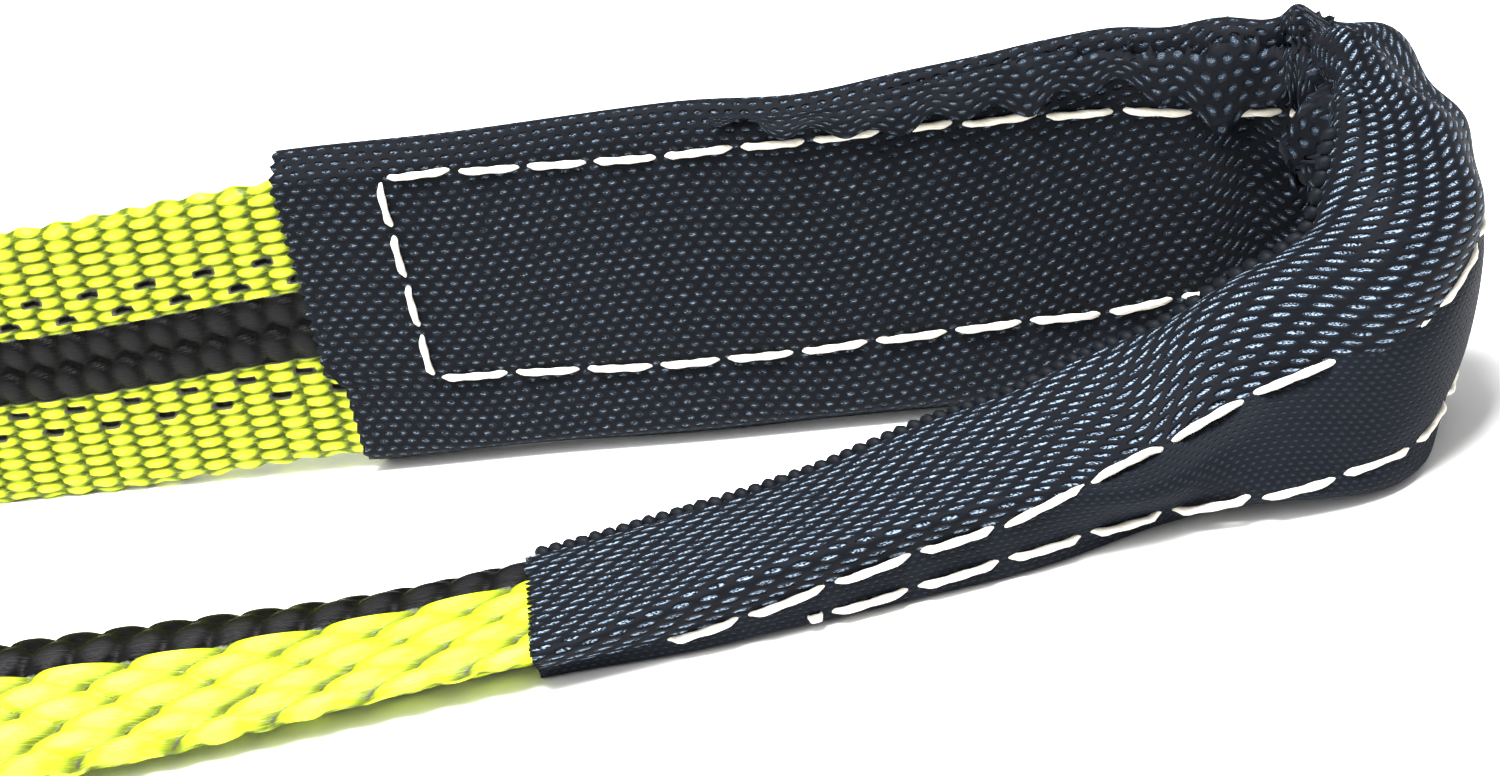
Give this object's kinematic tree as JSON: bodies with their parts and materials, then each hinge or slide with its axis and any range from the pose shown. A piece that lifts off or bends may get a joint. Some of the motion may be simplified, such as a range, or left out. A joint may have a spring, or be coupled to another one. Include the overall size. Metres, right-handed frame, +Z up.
{
  "type": "endless web sling",
  "caption": "Endless web sling standing on its edges: a folded yellow web loop with a black centre stripe and a woven black wear sleeve sewn round one bend.",
  "frame": {"origin": "on the floor under the middle of the sling as it stands on its edges", "axes": "+X along the sling towards the sleeved bend, +Y towards the rear leg, +Z up from the floor"},
  "size_m": [0.2796, 0.0638, 0.0289],
  "materials": {
    "yellow_web": "neon yellow polyester web with a black centre stripe",
    "black_sleeve": "coarse woven navy-black nylon",
    "white_thread": "twisted off-white sewing thread"
  },
  "bodies": {
    "root": {"web_strap": "yellow_web", "wear_sleeve": "black_sleeve", "sleeve_seam_outer": "white_thread", "sleeve_seam_inner": "white_thread", "lap_seam_outer": "white_thread", "lap_seam_inner": "white_thread"}
  },
  "joints": []
}
